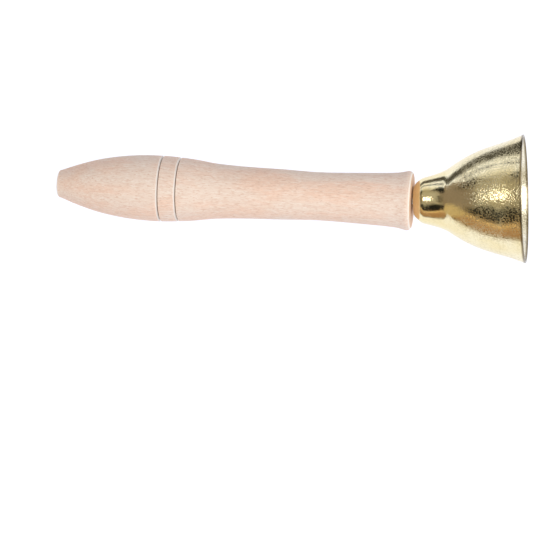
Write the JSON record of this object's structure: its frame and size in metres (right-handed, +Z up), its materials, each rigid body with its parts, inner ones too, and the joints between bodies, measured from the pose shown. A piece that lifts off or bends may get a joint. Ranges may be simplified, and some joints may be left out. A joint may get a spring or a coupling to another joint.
{
  "type": "handbell",
  "caption": "Small handbell lying on its side: a flared metal cup screwed to a turned wooden handle, with a ball clapper hung inside on a ring.",
  "frame": {"origin": "under the middle of the bell's bounding box, on the surface it lies on", "axes": "+Z up; +X along the handle towards the bell's mouth, seen from above; the bell lies on its side on its rim and the thick of its handle"},
  "size_m": [0.1818, 0.0484, 0.0485],
  "materials": {
    "wood": "sanded, unvarnished pale hardwood with faint straight grain",
    "plated_cup": "bright pale gold plating over a stamped cup, with a fine orange-peel surface",
    "steel_fittings": "bright zinc-plated wire and washer",
    "clapper_ball": "plated steel ball, satin with small marks"
  },
  "bodies": {
    "bell": {"handle": "wood", "bell_cup": "plated_cup", "crown_washer": "steel_fittings", "screw_eye": "steel_fittings"},
    "link": {"link_ring": "steel_fittings"},
    "clapper": {"clapper_wire": "steel_fittings", "clapper_ball": "clapper_ball"}
  },
  "joints": [
    {"name": "clapper_swing", "type": "hinge", "parent": "bell", "child": "link", "pos_m": [0.05609, -0.00214, 0.02168], "axis": [0.0661, -0.9978, 0.0053], "range_deg": [0, 65]},
    {"name": "clapper_sway", "type": "hinge", "parent": "link", "child": "clapper", "pos_m": [0.06027, -0.00187, 0.01944], "axis": [0.4692, 0.0358, 0.8824], "range_deg": [-10, 10]}
  ]
}
